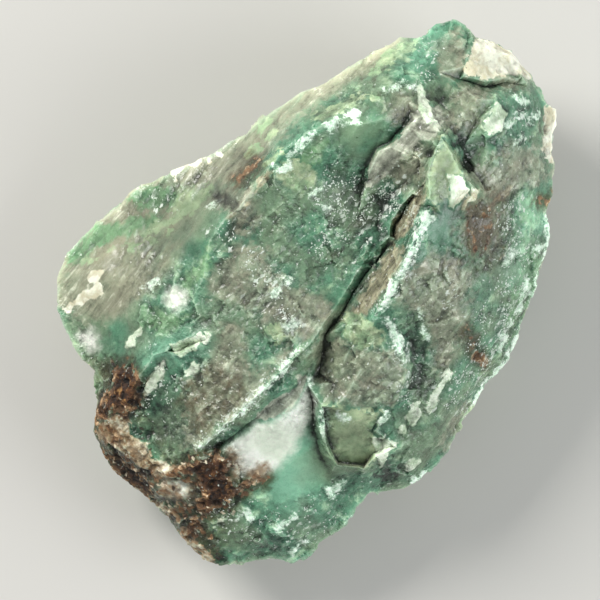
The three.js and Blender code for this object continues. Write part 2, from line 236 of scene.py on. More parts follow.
# %% [markdown]
# ## The minerals
#
# Deep green jade is the body of the stone. Over it lie leaf green and sage green bands, smoky
# quartz, a few milky breaks, and one thin lilac-grey leaf with a smaller one below. There are pale
# flakes and chips where the green is split thin, straw-coloured slivers, the cream rind of the
# outside, and rust where iron has soaked in. A wide patch is an outline, and a narrow one is a
# streak: how wide it is in mm, and where it runs.

# %% Leaf green and sage green bands
leaf_outlines = [
    [(-39, 5.2), (-38, 6.8), (-36.4, 8.4), (-34.4, 10.8), (-31, 11.2), (-28, 12.2), (-25, 13),
     (-22.5, 12.6), (-25, 10.6), (-28.5, 9.2), (-31.5, 8.6), (-34, 6.8), (-36.5, 5.4)],
    [(-29, 15.5), (-26.4, 17.2), (-22, 17), (-19.5, 15.5), (-22, 13.8), (-25.5, 13.6), (-28, 14.2)],
    [(-20, 1.2), (-18.5, 4.5), (-16.2, 7.6), (-15.4, 8.6), (-15.6, 5.5), (-17.2, 2.6),
     (-18.6, 0.8)],
    [(-26, -2.2), (-22.5, -2.5), (-19, -3.4), (-20.5, -5.5), (-23.5, -7), (-26.5, -5)],
    [(33.5, 15.6), (36.4, 16.6), (38.4, 15.8), (38.6, 13.4), (37.4, 11.6), (35.4, 10.8),
     (33.6, 12.4)],
    [(21, 21.8), (22.6, 21.8), (23.4, 20.4), (22.2, 19.4), (20.8, 20)],
    [(33.6, 9.6), (36.4, 9), (37, 3), (35.2, -2), (32.8, -6.6), (30.4, -9.4), (31.4, -4),
     (33, 2)],
    [(-2, 21.8), (0, 23.6), (3, 24.2), (1.6, 21.2), (-1, 19.6)],
]
sage_outlines = [
    [(5, -3.4), (7.6, -3), (10, -4.6), (11.6, -7), (9.6, -8.8), (7, -7.8), (5.2, -6)],
    [(-21, 16.6), (-18, 17), (-15.4, 16.8), (-16.4, 14.6), (-18.6, 12.8), (-21.8, 11), (-25.4, 9.2),
     (-28, 8.6), (-25.6, 10.8), (-22.4, 12.6), (-21, 14.4)],
    [(0.4, 27.6), (4, 30), (8.4, 31.4), (12, 31), (8, 30.4), (3.6, 27.8)],
    [(2.6, -17.8), (2.6, -21.4), (3.8, -25), (4.9, -27.2), (9.4, -27.4), (11, -25.4), (10.2, -22.6),
     (11, -20), (11.6, -18.4), (8, -18.2)],
    [(21.2, 24.4), (23.6, 21.6), (24.6, 19), (22.4, 18.6), (21.6, 15), (19.4, 12.6), (18.6, 15),
     (19, 19), (20, 22.4)],
    [(10, 34.6), (13, 36.6), (15.4, 39), (17.8, 40.4), (14.4, 39.6), (10.4, 36.6)],
    [(-5, 20.8), (-2, 21), (0.8, 19.4), (1, 17.2), (-1.4, 16), (-4, 16.8), (-5.6, 18.6)],
]
sage_streaks = [
    (2.0, [(11.6, 36.6), (15.8, 38.8)]),
    (0.6, [(-36.2, 5.3), (-33.4, 6.2), (-31, 7.6), (-29, 8.4)]),
    (0.5, [(-28.4, 7.3), (-26.4, 7.4), (-24, 8.8), (-21.6, 10.2)]),
    (0.9, [(-10, 22), (-5.4, 25.6)]),
    (0.7, [(-7, 20.5), (-4.6, 22.6)]),
    (1.1, [(-8, 26.6), (-6.4, 27.6)]),
    (1.0, [(30.8, -12.6), (27.6, -16.2), (24.6, -21)]),
    (1.6, [(-6.2, -5.4), (-4.8, -6.6)]),
]
print("green bands:", len(leaf_outlines) + len(sage_outlines + sage_streaks))

# %% Smoky quartz and milky breaks
smoky_outlines = [
    [(19.6, 39.6), (23.6, 41.6), (25.6, 39), (24.6, 35.4), (22, 33.4), (20, 36)],
    [(24.4, 15), (30.2, 15.2), (31, 9), (28.8, 6), (25.4, 6), (24, 10)],
    [(-40, 3), (-38, 5), (-34, 5.6), (-30, 6), (-26, 6.6), (-24.6, 4.6), (-26, 1), (-29, -2),
     (-33, -4.4), (-38, -4.6), (-40, -1)],
    [(-33.8, 11.6), (-30.4, 13.9), (-28.2, 15.4), (-26.6, 14.2), (-29.4, 12.6), (-32, 11.6)],
    [(-20, 18.4), (-15, 22), (-9.8, 25.2), (-4.8, 29.2), (1, 32.8), (8, 36.9), (11, 37.8),
     (8, 34.2), (0, 29.6), (-5, 24), (-8.4, 20.6), (-10, 18.4), (-14.4, 17.6), (-17.6, 17.6)],
    [(-16, 15.4), (-13, 17.2), (-9.6, 17.8), (-8, 15.4), (-8.6, 11), (-10.6, 9), (-12.4, 9.6),
     (-12, 12.4), (-14.6, 13.2)],
    [(-12, 8), (-9, 8.6), (-6, 6.6), (-4.6, 3), (-1, 1), (3, -1), (5.6, -3), (3, -6), (-1, -8),
     (-4, -7), (-8, -3.6), (-12.6, -1), (-16, -0.4), (-15.4, 3)],
    [(-19.6, -13.6), (-16.6, -11.4), (-13.4, -4.6), (-10.4, -5.6), (-10.8, -9), (-8, -12),
     (-5.6, -11), (-3, -8), (-1.6, -9), (-5.6, -13.4), (-10.8, -18.6), (-14.6, -22),
     (-17.8, -24.6), (-20.6, -24), (-20, -20)],
    [(0.8, -7.4), (4, -7.6), (8, -8.6), (12, -8.4), (15.2, -9.4), (15.4, -13.6), (14, -17.4),
     (10, -18), (6, -18), (3, -17), (1.2, -14), (0.6, -10.6)],
    [(13, 22.6), (15, 24.6), (18, 25), (19.4, 22), (18.6, 18.6), (17.8, 17.4), (15.4, 15.4),
     (13, 17.6), (11.6, 19)],
    [(9, 16.8), (10, 20), (10.8, 21.6), (11.6, 22.9), (13.6, 23.5), (15.3, 25.3), (16.5, 27.5),
     (18, 28.2), (19.5, 27.5), (20, 26), (19.4, 24.4), (17, 24.8), (15.2, 23.4), (14, 21.2),
     (12.2, 19.6), (10.4, 18)],
    [(24.6, 34), (28.4, 33.2), (31, 34.6), (35, 34.4), (34, 33), (29.4, 32.4), (28, 30.4),
     (26.6, 27.6), (25, 25.6), (23.4, 26), (22.6, 30)],
    [(24.6, 19.4), (28.4, 20.6), (31.4, 24), (36.4, 23), (38.4, 19), (36.6, 17.6), (33.6, 16.4),
     (30, 15), (27.6, 15.4), (26, 17)],
    [(16, 4.6), (19.6, 6.4), (23.6, 6), (25.6, 2), (25.4, -3), (23.6, -8), (22.4, -12),
     (20.4, -12.6), (19.6, -8), (17.6, -3.4), (15.4, -1.6), (13, -0.6), (14, 2.6)],
    [(19.8, 25.4), (20.4, 29), (22.8, 29.8), (24, 28), (23.4, 25.8), (21.6, 25.2)],
    [(13, 8.4), (14.6, 6), (12.6, 2), (9.8, -2.6), (6.6, -4.4), (5.4, -3), (8, 0.6), (10.8, 4.4),
     (12.4, 7)],
    [(13, 32), (16, 32), (17.4, 29.6), (15.6, 26.6), (13.6, 26.4), (12, 28.6)],
    [(24.6, -17.6), (27.6, -16), (23.6, -23.4), (21.6, -25.6), (20.6, -24)],
    [(-19.4, -29), (-16.4, -30), (-16.4, -32.6), (-19, -33.6), (-20.6, -32)],
]
milky_outlines = [
    [(-13.6, -24.4), (-11, -22.8), (-8.4, -20.4), (-4.6, -19.9), (-2.2, -18.2), (-0.2, -14.6),
     (1, -17.6), (0, -21), (-2.2, -24.6), (-5.4, -28), (-8, -29.6), (-12, -29.2), (-12.4, -26.8)],
    [(-23.4, -30), (-21, -29.8), (-19.4, -30.4), (-19.2, -32.4), (-21.4, -33.2), (-24, -32)],
    [(-37.4, -6.4), (-35, -5.6), (-33.6, -6.8), (-33.8, -8.6), (-35.6, -9.4)],
    [(-23, -0.2), (-22.4, 1.2), (-20.8, 1.3), (-19.4, 0.2), (-19.6, -1.8), (-21.2, -2.6),
     (-22.8, -1.8)],
]
print("quartz patches:", len(smoky_outlines + milky_outlines))

# %% Thin flakes, the lilac-grey leaf and the straw-coloured slivers
flake_outlines = [
    # the sliver over the dome
    [(17.4, 33.6), (18.4, 31), (19.6, 28.6), (20.2, 26.8), (18.6, 26.6), (17.4, 28.4), (16.9, 31)],
    # the white end of the blade, in two pieces
    [(21.8, 18.6), (23.8, 18.8), (25, 18), (25.4, 16.6), (24.2, 15.2), (22.8, 13.2), (22, 13.8)],
    [(25.6, 17.4), (27, 16.2), (26.4, 14.8), (25, 14.2), (23.6, 12.6), (24.4, 14.6), (25.6, 15.8)],
    # the five-sided chip on the right shoulder
    [(26.8, 26.2), (29.9, 30.4), (31.2, 28.4), (30.6, 26), (28.2, 24.9)],
    # thin plates beside the dark slot
    [(15.8, -17.2), (17.3, -17), (17.8, -19), (17, -21), (15.8, -21.2), (15.6, -19.4)],
    [(22.9, -11.4), (22.4, -13.6), (21.2, -15.2), (20.4, -17.2), (18.8, -18.9), (18.3, -18.2),
     (19.2, -15.8), (20.4, -13.9), (21.6, -12.6)],
    [(10, -22.8), (12, -22.2), (14, -24), (12.8, -25.2), (11.4, -27.4), (10.4, -25)],
    [(14.4, -20.8), (15.5, -21.2), (14.8, -22.9), (14, -22.4)],
    [(15.2, -28.6), (17.9, -27.2), (18, -26), (16.6, -26), (15.2, -27.4)],
    # scales at the foot of the long slope
    [(-22.4, -8.2), (-20.4, -10), (-18.4, -8.9), (-16.2, -8), (-15.4, -6.4), (-18, -6.2),
     (-20.4, -7)],
    [(-26.4, -16.6), (-25.6, -13.8), (-24.6, -11.4), (-22.6, -10.2), (-23.4, -13), (-24.8, -15.4)],
    [(-29.4, -8.8), (-27.9, -8.6), (-26.4, -6), (-26.8, -5.4), (-28.4, -6.8)],
    [(-16.6, -11.2), (-17.2, -12.4), (-19.4, -12.8), (-19.8, -11.8), (-18, -11)],
]
misty_outlines = [
    [(8.4, 16.6), (9.2, 19.4), (10.2, 21.8), (11.4, 23.2), (13, 23.8), (14.8, 25.8), (16.2, 28.4),
     (17.8, 30), (20, 30), (21.6, 27.4), (20, 25.2), (17.4, 24), (15.4, 21.6), (13, 19.6),
     (11.2, 18.2), (9.8, 17)],
    [(-8.6, -19.8), (-5.4, -19.6), (-2.6, -18.2), (-1, -15.6), (-0.2, -12.8), (-1.6, -13.2),
     (-3.6, -15.6), (-6, -17.2), (-8.2, -18.6)],
]
straw_outlines = [
    [(7, -2.8), (9, 0.8), (11.2, 4.2), (13.2, 7.6), (14.8, 7.8), (14.2, 4.8), (12.6, 1.4),
     (10, -1.8), (8.6, -3.6)],
    [(18, 17.2), (16.6, 16), (15, 13.6), (13.4, 11.4), (13, 9.2), (14, 8.6), (15.9, 10.6),
     (17.4, 12.8), (18.1, 15)],
]
straw_streaks = [
    (0.5, [(-13.4, 11.8), (-10, 14), (-7.4, 17.6)]),
    (0.9, [(-7.6, 17.6), (-6.2, 19)]),
    (1.0, [(29.4, 15), (32, 16.8)]),
]
print("flakes and slivers:", len(flake_outlines + misty_outlines + straw_outlines))

# %% Frosted chips, mostly along the broken crests, where some rows are partly painted highlights
chip_and_highlight_streaks = [
    # Rows along the blade's crest: partly chips and partly a painted highlight
    (1.3, [(18.6, 13), (17.6, 9.6), (16.2, 6.4)]),
    (0.8, [(15.6, 5.2), (14.4, 3.2), (12.6, 0.2), (11, -2.8)]),
    (1.1, [(12.2, 32.2), (16.4, 32.9)]),
    (0.6, [(-2.6, 22.2), (0.4, 25)]),
    (1.0, [(2.8, 26.4), (6.8, 28.6)]),
    (0.6, [(5.6, 26.8), (8, 26.8)]),
    (1.7, [(-4.6, 19.4), (-3.4, 20.6)]),
    (0.8, [(0.4, 15.4), (1.8, 16.6)]),
    (0.5, [(3, 13.2), (3.6, 13.8)]),
    (1.3, [(-5.6, -0.2), (-3.8, 2)]),
    (1.2, [(33.4, 31), (34.6, 30.6)]),
    (0.6, [(33, 23.6), (33.6, 25)]),
    (0.5, [(31.4, 26.6), (34, 28.6)]),
    (0.5, [(35, 27.4), (36.8, 29)]),
    (0.9, [(36.2, 7.4), (38, 8)]),
    (0.6, [(34.8, 2.4), (36, -1)]),
    (1.0, [(31.4, 5.4), (33.2, 6.6)]),
    (0.9, [(38.6, 12.6), (38.4, 9), (37.6, 5), (36.4, 1.6), (35.4, -3), (33.6, -7.4),
           (31.2, -11), (29, -13.6), (26.6, -17)]),
    (0.8, [(12.6, -18.4), (11.6, -20)]),
    (1.0, [(17, -29.8), (18.4, -29.4)]),
    (0.7, [(-14, -36.4), (-12, -35.6)]),
    (1.2, [(-5, -37), (-2.4, -35.8)]),
    (1.2, [(3.6, -32), (5, -30.4)]),
    (1.0, [(5.4, -35.4), (6.2, -36.4)]),
    (0.9, [(-2.4, -41), (-0.6, -40.2)]),
    (0.8, [(-10.4, -34.6), (-9, -35.6)]),
    # Rows along the lower crest: partly chips and partly a painted highlight
    (0.7, [(-1.8, -8.6), (-4.6, -12.4), (-8, -15.9)]),
    (0.5, [(-8, -15.9), (-10.4, -18.4), (-14.4, -22), (-17.6, -24.3)]),
    (1.2, [(-25.5, 1.2), (-24.7, 2)]),
    (1.1, [(12.4, -4), (14.2, -7.6), (15, -10)]),
    (0.7, [(17.4, -3), (18.4, -7)]),
    (1.2, [(34.6, 1), (33.2, -2.6)]),
    (1.1, [(31.8, -5), (30.8, -8.4)]),
    (0.6, [(-15.2, 14.3), (-14, 15)]),
    (1.0, [(-3.4, -5.6), (-2.2, -4.4)]),
    (0.6, [(2.2, -22.4), (2.6, -20.6), (2.4, -18.6)]),
    (0.9, [(4.6, -19.4), (6.2, -20)]),
    (0.7, [(0.2, -13.2), (0.8, -15.6)]),
]
print("rows of chips:", len(chip_and_highlight_streaks))

# %% Cream rind, rust and the stains round it
cream_outlines = [
    [(24.8, 34.8), (25.5, 38), (26.5, 41), (30, 40.6), (33, 38.8), (35, 36.2), (36.5, 33.4),
     (34, 34.6), (31.5, 35), (28, 34)],
    [(37.4, 29.4), (38.6, 30.6), (41, 29), (41, 27.4), (39.6, 25), (39.6, 21), (38, 21.8),
     (37.2, 23), (37.8, 26)],
    [(-33.6, -20.6), (-30, -19.4), (-28.6, -20.6), (-28.4, -22.6), (-25.8, -24.8), (-24.8, -27),
     (-20.4, -27.4), (-19.6, -26.2), (-19.2, -27.8), (-21.6, -29.4), (-24.6, -29.6),
     (-26.8, -28.2), (-29, -26.2), (-32, -24.2), (-34.6, -22.6)],
]
cream_streaks = [
    (1.5, [(-22, 19.3), (-20.6, 20.5), (-18.2, 21.1), (-15, 22.4)]),
    (1.9, [(-35.2, 1.4), (-34.6, 3.4)]),
    (1.7, [(-38.6, -2.6), (-36, -0.8), (-33.8, 0.6)]),
    (1.4, [(-24.8, -33.4), (-21.4, -35.8), (-18.6, -39.8), (-15.6, -43)]),
    (1.6, [(27.2, -9.9), (27.6, -10.5)]),
    (0.9, [(-24, -28.8), (-22.4, -28.2)]),
]
rust_outlines = [
    [(-19.5, -26.5), (-14.5, -25.2), (-12.3, -26.3), (-12.7, -28.8), (-10.5, -31.5),
     (-13, -33.5), (-16, -35), (-19.6, -34.8), (-17, -31.5), (-18.6, -29.2), (-22, -29)],
    [(-31.4, -11.6), (-28.6, -11.4), (-27, -13.6), (-27, -17.4), (-28.4, -19.2), (-30.4, -18.8),
     (-32.4, -20.4), (-34.4, -20), (-34, -17.4), (-31.8, -15)],
    [(-33.8, -24.2), (-30.4, -26), (-26.4, -28.6), (-24.8, -31.2), (-26, -33), (-30, -30),
     (-33.4, -26.4)],
    [(-19.8, -35.6), (-17.6, -35.6), (-17.4, -38.6), (-19.6, -38.6)],
]
stained_outlines = [
    [(24.4, 15), (30, 15.4), (30.8, 9.6), (28.8, 5.4), (25.4, 5.6), (23.8, 10)],
    [(-20, -17), (-15.4, -13), (-12, -14.4), (-13.6, -19), (-17, -21)],
]
speckled_outlines = [
    [(-34, -20), (-29, -24), (-23, -31), (-17, -38), (-14.6, -43), (-20, -43), (-34, -30),
     (-38, -22)],
    [(25.4, 13), (27.6, 13.4), (28.4, 10.4), (27.8, 7.6), (26.4, 7), (25.6, 9.4)],
]
rust_streaks = [
    (0.4, [(-11.3, 18), (-8.4, 20.9)]),
    (0.4, [(25.2, -6.2), (26.3, -8.6)]),
    (0.7, [(27.1, -10), (27.5, -10.3)]),
    (0.9, [(-12, -31), (-10, -30.4), (-7.6, -29.2)]),
    (0.5, [(37.6, 15), (38.8, 15.2)]),
]
print("weathered patches:", len(cream_outlines + rust_outlines + stained_outlines))

# %% [markdown]
# ## Light and dark, smooth and rough
#
# Jade lets some light in, so its thin parts glow and its cracks go dark, more than a lit surface
# shows by itself. Here that is painted into the colour: wide soft brushes paint shade into cracks,
# pits and recesses, and paint light and sheen onto lit slopes and over some shadows, along with
# the stone's own darker and lighter places. Other brushes say where a mint green shows through,
# where it is calm, as on a clean waxy break, and where white grains, some of them painted glints,
# pepper it. Each one is an amount, its reach in mm, and the line it follows.

# %% Soft brushes: painted shade in cracks and pits, painted light and sheen, and the stone's own tone
painted_light_and_shade_brushes = [
    (-0.15, 1.6, [(12.4, 7.8), (7.4, 0.2), (3, -6.6)]),
    # painted shade in a dark recess
    (-0.5, 3.4, [(12.4, -28.6), (13.4, -29.4)]),
    (-0.4, 2.2, [(18, -8.6), (17.4, -15.6)]),
    # painted shade in a pit
    (-0.6, 1.7, [(25, 20.6), (25.4, 19.8)]),
    (-0.35, 1.8, [(23.6, 24.2), (25, 23.2)]),
    (-0.28, 4.0, [(22.6, 23), (20.6, 17), (19.4, 13.6)]),
    (0.2, 4.0, [(14, 17), (15.4, 21.6)]),
    (0.3, 3.6, [(-8, 24.6), (0, 30.4), (8, 35.4), (12, 38)]),
    (0.12, 5.0, [(-7, -24), (-10, -26)]),
    (0.24, 5.0, [(0, -25), (-2, -29)]),
    (0.36, 4.0, [(35.6, 14), (36.6, 13)]),
    (0.3, 1.6, [(-2, -8.6), (-8, -15.8), (-12, -19.6)]),
    (0.06, 3.6, [(7, -5.4), (9.4, -6.4)]),
    (0.3, 4.4, [(7, 26), (10.4, 23.6)]),
    (0.25, 4.6, [(-10, 5), (-7, 2.4)]),
    (-0.5, 3.0, [(-14, 15.6), (-10.4, 13), (-13.4, 8.6)]),
    (-0.26, 1.8, [(1, 27.8), (8, 31)]),
    (-0.24, 6.0, [(7, 15.4), (11, 12.6)]),
    (-0.35, 2.0, [(32.4, -6.6), (33.6, -3.6), (35.4, -0.4)]),
    (-0.3, 1.4, [(37.4, 6.4), (37.8, 9.6)]),
    (-0.14, 7.0, [(-26, 5), (-20, 9)]),
    (-0.18, 4.0, [(-27, 14.6), (-22, 16)]),
    (-0.14, 5.0, [(-7, -1), (-4, -4)]),
    (-0.12, 4.0, [(0, -35), (4, -37)]),
    (-0.1, 5.0, [(-12, -7), (-8, -11)]),
    (0.1, 5.0, [(0, -26), (-3, -29)]),
    (0.14, 5.0, [(8, 25), (9.4, 22.6)]),
    (0.14, 3.4, [(14.4, 18), (16.4, 21.4)]),
    (-0.3, 3.0, [(-31, -27), (-27, -31)]),
    (-0.26, 2.6, [(12.4, 4.4), (8.6, -1)]),
    (-0.26, 3.2, [(7, -5), (9.6, -7.4)]),
    (0.08, 2.4, [(-21.4, -0.2), (-20.9, -0.7)]),
    (-0.14, 4.0, [(-28, 13.6), (-22, 15.6), (-17, 15.6)]),
    (-0.2, 3.0, [(-24.6, -3.4), (-21, -5.4)]),
    (-0.12, 4.4, [(-8, -1), (-4, -4)]),
    (-0.12, 5.0, [(-25, -16), (-22, -22)]),
    (-0.1, 4.0, [(3, -10), (12, -12)]),
    (0.12, 5.0, [(19, 36), (24, 38.4)]),
    # painted sheen on the lower end of the long slope
    (0.2, 5.0, [(-36, -1), (-29, 3)]),
    (0.25, 3.0, [(2.4, -10.5), (3.4, -11)]),
    (-0.3, 3.6, [(-25, -17), (-22, -23)]),
    (-0.35, 2.2, [(11, 15), (14, 14)]),
    (-0.2, 1.2, [(-15.4, 8.6), (-15, 3)]),
    (-0.35, 1.6, [(-13.6, 2), (-12, 7)]),
    # painted light over the shadow beside the lower crest
    (0.4, 2.4, [(0, -12), (-4, -16.4), (-9, -21)]),
    (-0.35, 1.9, [(20, 34.6), (20.6, 31)]),
    (-0.45, 1.2, [(11.4, -21.4), (11.8, -22.6)]),
    (-0.6, 0.9, [(-29.4, -14.2), (-29, -14.6)]),
    (-0.35, 1.4, [(1.2, -20), (2.4, -26), (4, -29)]),
    (-0.3, 2.6, [(-33, -24.6), (-26, -30.6), (-19, -38)]),
    (-0.3, 1.4, [(31, -5), (30, -7)]),
    # painted sheen on the upper end of the long slope
    (0.22, 5.0, [(-2, 29), (8, 35.4)]),
    (-0.06, 6.0, [(-34, 4), (-27, 8), (-16, 15)]),
    (0.26, 6.0, [(-3, -27), (-6, -32), (1, -32)]),
    # painted highlight on the white end of the blade
    (0.7, 2.8, [(23.6, 17.4), (23.4, 15.4), (25.6, 15.6)]),
    (-0.4, 3.4, [(9, 18), (11, 21), (13.4, 23), (16.4, 26.6)]),
    (-0.12, 4.6, [(-25, 5), (-20, 9)]),
    (0.25, 4.0, [(17.6, 37.6), (20.4, 41)]),
    (0.3, 3.4, [(-29, -23), (-23, -29)]),
    (0.5, 2.0, [(-22.4, -31.4), (-20.6, -31.4)]),
    (0.14, 4.4, [(37, 14.6), (36, 12)]),
    (0.12, 4.4, [(29, -8), (24.6, -15)]),
    (-0.16, 1.8, [(20.2, -5), (19, -9.6), (18.4, -13)]),
    (-0.25, 1.6, [(22, -18), (20.4, -22.6)]),
    (-0.2, 2.4, [(2, -14), (8, -16), (14, -15.6)]),
    (-0.2, 2.0, [(30.4, 12), (29, 4), (27.4, -2)]),
    (0.3, 1.6, [(22, 27.6), (22.6, 27)]),
    (0.25, 4.0, [(-7, -24), (-3, -21)]),
    (-0.22, 5.0, [(5, -20), (8, -25)]),
]
print("shade brushes:", len(painted_light_and_shade_brushes))

# %% Soft brushes for mint green, calm breaks and white grains
mint_brushes = [
    (0.5, 7.5, [(-3, -21), (-5, -26), (-3, -30)]),
    (0.4, 3.6, [(35, 14), (37, 12)]),
    (0.35, 4.4, [(-24, -9), (-18, -8)]),
    (0.3, 4.4, [(33, 3), (34, 8)]),
    (0.25, 4.4, [(16.4, 37), (19.6, 41)]),
    (0.1, 5.0, [(-6, -38), (2, -36)]),
]
calm_brushes = [
    (0.6, 8.0, [(-36, 2), (-30, 8), (-20, 12)]),
    (1.0, 5.5, [(-8, -25), (-2, -24), (0, -28), (-4, -30)]),
    (0.9, 5.0, [(6, 26), (10, 23)]),
    (0.3, 2.4, [(12, 21.4), (16.4, 25.4), (19, 27)]),
    (0.9, 3.6, [(21.4, 21), (23, 16), (20.6, 10)]),
    (0.9, 4.4, [(6, -20), (7.4, -25)]),
    (0.7, 7.0, [(-34, 0), (-30, -6)]),
    (0.8, 4.4, [(27, 37), (31, 37.6)]),
    (0.6, 3.4, [(22, 37), (22.4, 34)]),
    (0.7, 2.4, [(28.6, 27.6), (29.6, 28)]),
    (0.6, 2.2, [(-21.3, -0.4), (-21, -0.6)]),
    (0.6, 6.0, [(-20, 8), (-12, 20), (0, 30)]),
]
grain_brushes = [
    (1.0, 6.0, [(3, 16), (10, 14), (13, 15)]),
    (0.6, 6.0, [(2, 8), (6, 8)]),
    (0.9, 5.0, [(33, 12), (32, 4), (31, -3), (28, -9), (24, -17)]),
    (1.0, 1.8, [(-1.8, -8.6), (-8, -16), (-17.4, -24.4)]),
    (1.0, 2.2, [(12.8, -5), (15.8, -11), (15, -17)]),
    (0.7, 3.0, [(-9, 6), (-5, 0), (-3, -5)]),
    (0.9, 2.2, [(17.6, 11), (15.6, 5.4), (11.6, -2)]),
    (0.5, 5.0, [(-12, -36), (-3, -38), (3, -35)]),
    (0.5, 4.0, [(-26, -18), (-22, -14)]),
    (0.7, 3.0, [(33, 31), (34, 26)]),
    (0.6, 3.0, [(19.6, 39), (19, 35)]),
    (0.5, 4.0, [(-24, 14), (-14, 10)]),
    (0.6, 3.0, [(21, 2), (22, -2)]),
]
print("other brushes:", len(mint_brushes + calm_brushes + grain_brushes))

# %% The long slope, which is streaked along the grain, and the crumbly corner
slope_outline = [
    (-42, -2), (-42, 8), (-22, 24), (-4, 36), (12, 44), (17, 40), (12.4, 36), (4, 32), (-3, 28.6),
    (-9, 21.6), (-13, 17), (-17, 12.6), (-20.6, 6), (-24, 1), (-31, -4),
]
corner_outline = [
    (-36, -10), (-28, -10.4), (-26.6, -18), (-20, -26), (-12, -26), (-9, -29), (-12, -35),
    (-14, -46), (-22, -42), (-38, -26),
]
slope = facing_up * smooth_step(-1.5, 2.0, depth_in_outline(shaken, slope_outline))
crumbly = smooth_step(-1.0, 1.2, depth_in_outline(shaken, corner_outline))
crumbly *= smooth_step(4, 12, points[:, 2])
facing_up = np.maximum(facing_up, crumbly * smooth_step(-0.85, -0.5, normals[:, 2]))
# rim: near-upright points round the outline, which the finish paints paler as a painted rim light
rim = smooth_step(0.3, 0.08, normals[:, 2]) * smooth_step(-0.12, 0.04, normals[:, 2])
rim *= smooth_step(-0.25, 0.3, noise_at(points, 4.0, 48))
print("points on the slope:", int((slope > 0.5).sum()))
print("points in the corner:", int((crumbly > 0.5).sum()))

# %% Every point learns how deep it lies in each mineral
depths = {
    "leaf": depth_in_all(leaf_outlines),
    "sage": depth_in_all(sage_outlines, sage_streaks),
    "smoky": depth_in_all(smoky_outlines),
    "milky": depth_in_all(milky_outlines),
    "chip": depth_in_all(streaks=chip_and_highlight_streaks),
    "flake": depth_in_all(flake_outlines),
    "misty": depth_in_all(misty_outlines),
    "straw": depth_in_all(straw_outlines, straw_streaks),
    "cream": depth_in_all(cream_outlines, cream_streaks),
    "rust": depth_in_all(rust_outlines, rust_streaks),
}
# A stain is a place that counts as almost rust, at this many millimetres outside it
for outlines, most in ((stained_outlines, -1.4), (speckled_outlines, -0.6)):
    depths["rust"] = np.maximum(depths["rust"], np.minimum(depth_in_all(outlines), most))
# Below the rim nothing is marked up, so the bands wander there by themselves: their size in mm,
# the noise that they start above, and a seed
WANDER_SLOPE = 0.9
SIDE_SHADE = 0.14
SIDE_GRAIN = 0.12
wander = {
    "leaf": (9.0, 0.24, 1), "sage": (8.0, 0.36, 2), "smoky": (12.0, 0.06, 3),
    "milky": (9.0, 0.47, 4), "chip": (3.0, 0.5, 5), "flake": (4.0, 0.54, 9),
    "misty": (7.0, 0.4, 10), "straw": (6.0, 0.5, 6), "cream": (13.0, 0.42, 7),
    "rust": (8.0, 0.62, 8),
}
for name, (size, above, seed) in wander.items():
    own = (noise_at(points, size, 30 + seed) - above) * size * WANDER_SLOPE
    depths[name] = facing_up * depths[name] + (1 - facing_up) * np.clip(own, -FAR, FAR)
# Painted shade and light: the brushes' painted light and shade on top, and sides made darker by
# SIDE_SHADE
shade = facing_up * soft_total(painted_light_and_shade_brushes) - (1 - facing_up) * SIDE_SHADE
mint = facing_up * soft_total(mint_brushes)
calm = np.clip(facing_up * soft_total(calm_brushes), 0, 1)
grain = np.clip(facing_up * soft_total(grain_brushes), 0, 1) + (1 - facing_up) * SIDE_GRAIN
print("points in each:", {name: int((depth > 0).sum()) for name, depth in depths.items()})

# %% [markdown]
# ## The broken surface
#
# Jade is a felt of fibres, so it never breaks clean. Its surface is small tilted facets, ledges
# that follow the grain, thin flakes standing proud, and sugary grains. These could be sculpted by
# hand, but then nothing would say how high each is. Here each is a small move of the skin along its
# own normal, given in mm. The break that the stone lies on is left flat.

# %% Small facets, ledges and grains
FACET = 3.6
FACET_TILT = 0.3
SIDE_FACET = 7.5
SIDE_FACET_TILT = 1.0
SMALL_FACET = 1.3
SMALL_FACET_TILT = 0.16
LEDGE_RUN = 1.9
LEDGE_RISE = 0.24


def facet_height(point, size, seed):
    """Height on a random tilted facet: each cell of the stone has its own slope."""
    spot = Vector(point) / size + Vector((seed, seed * 2, seed * 3))
    centre = noise.voronoi(spot)[1][0]
    slope = noise.cell_vector(centre * 97.0) * 2 - Vector((1, 1, 1))
    return (spot - centre).dot(slope)


stretched = np.stack([along * 0.55, across, points[:, 2]], axis=1)
facets = np.array([facet_height(p, FACET, 5) for p in points])
side_facets = np.array([facet_height(p, SIDE_FACET, 3) for p in points])
small_facets = np.array([facet_height(p, SMALL_FACET, 9) for p in points])
bend = noise_at(points, 12.0, 41) * 1.6 + noise_at(stretched, 3.0, 42) * 0.8
phase = (across + bend) / LEDGE_RUN
ledge = smooth_step(0, 0.82, phase % 1) - smooth_step(0.86, 1.0, phase % 1)
ledge_here = smooth_step(-0.05, 0.35, noise_at(stretched, 6.0, 43))
sugar = noise_at(points, 1.1, 44) + 0.6 * noise_at(points, 0.55, 45)
crumbs = np.abs(noise_at(points, 1.5, 46)) + 0.5 * noise_at(points, 0.7, 47)
pits = smooth_step(0.28, 0.5, noise_at(points, 2.3, 49))
print("highest facet:", round(float(np.abs(facets).max()) * FACET_TILT, 2), "mm high")

